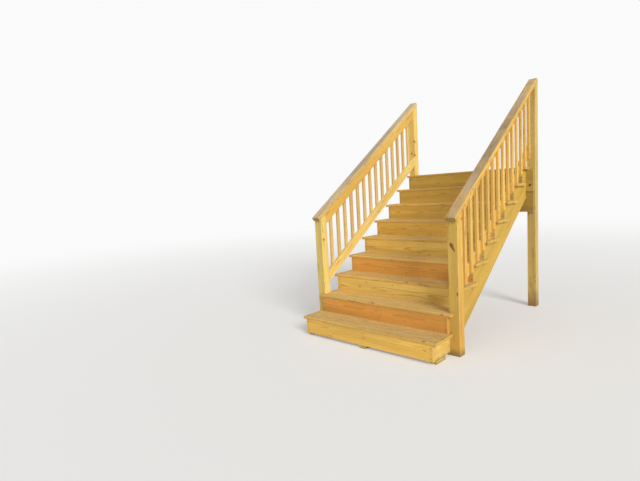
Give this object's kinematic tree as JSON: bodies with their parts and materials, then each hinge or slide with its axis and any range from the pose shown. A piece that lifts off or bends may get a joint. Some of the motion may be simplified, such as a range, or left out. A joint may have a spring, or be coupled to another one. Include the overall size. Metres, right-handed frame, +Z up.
{
  "type": "wooden deck stairs",
  "caption": "Straight flight of outdoor wooden stairs with closed risers, notched stringers, square newels and sloped baluster guard rails on both sides",
  "frame": {"origin": "on the floor, at the middle of the bottom of the overall box", "axes": "+X to the right seen from the foot of the stairs, +Y up the flight, +Z up"},
  "size_m": [1.6, 2.285, 2.5411],
  "materials": {
    "framing_lumber": "rough",
    "riser_board": "rough",
    "tread_board": "rough",
    "weathered_block": "rough",
    "post_lumber": "rough",
    "rail_lumber": "rough",
    "weathered_cap": "rough",
    "baluster_wood": "rough"
  },
  "bodies": {
    "root": {"stringer_left": "framing_lumber", "stringer_middle": "framing_lumber", "stringer_right": "framing_lumber", "riser_1": "riser_board", "riser_2": "riser_board", "riser_3": "riser_board", "riser_4": "riser_board", "riser_5": "riser_board", "riser_6": "riser_board", "riser_7": "riser_board", "riser_8": "riser_board", "riser_9": "riser_board", "tread_1": "tread_board", "tread_2": "tread_board", "tread_3": "tread_board", "tread_4": "tread_board", "tread_5": "tread_board", "tread_6": "tread_board", "tread_7": "tread_board", "tread_8": "tread_board", "tread_9": "tread_board", "step_side_left": "framing_lumber", "step_bearer_middle": "framing_lumber", "step_side_right": "framing_lumber", "foot_block_left": "weathered_block", "foot_block_middle": "weathered_block", "foot_block_right": "weathered_block", "newel_left": "post_lumber", "newel_right": "post_lumber", "upper_post_left": "post_lumber", "upper_post_right": "post_lumber", "top_rail_left": "rail_lumber", "top_rail_right": "rail_lumber", "bottom_rail_left": "rail_lumber", "bottom_rail_right": "rail_lumber", "cap_rail_left": "weathered_cap", "cap_rail_right": "weathered_cap", "balusters_left": "baluster_wood", "balusters_right": "baluster_wood", "header_upper": "framing_lumber", "header_lower": "framing_lumber"}
  },
  "joints": []
}
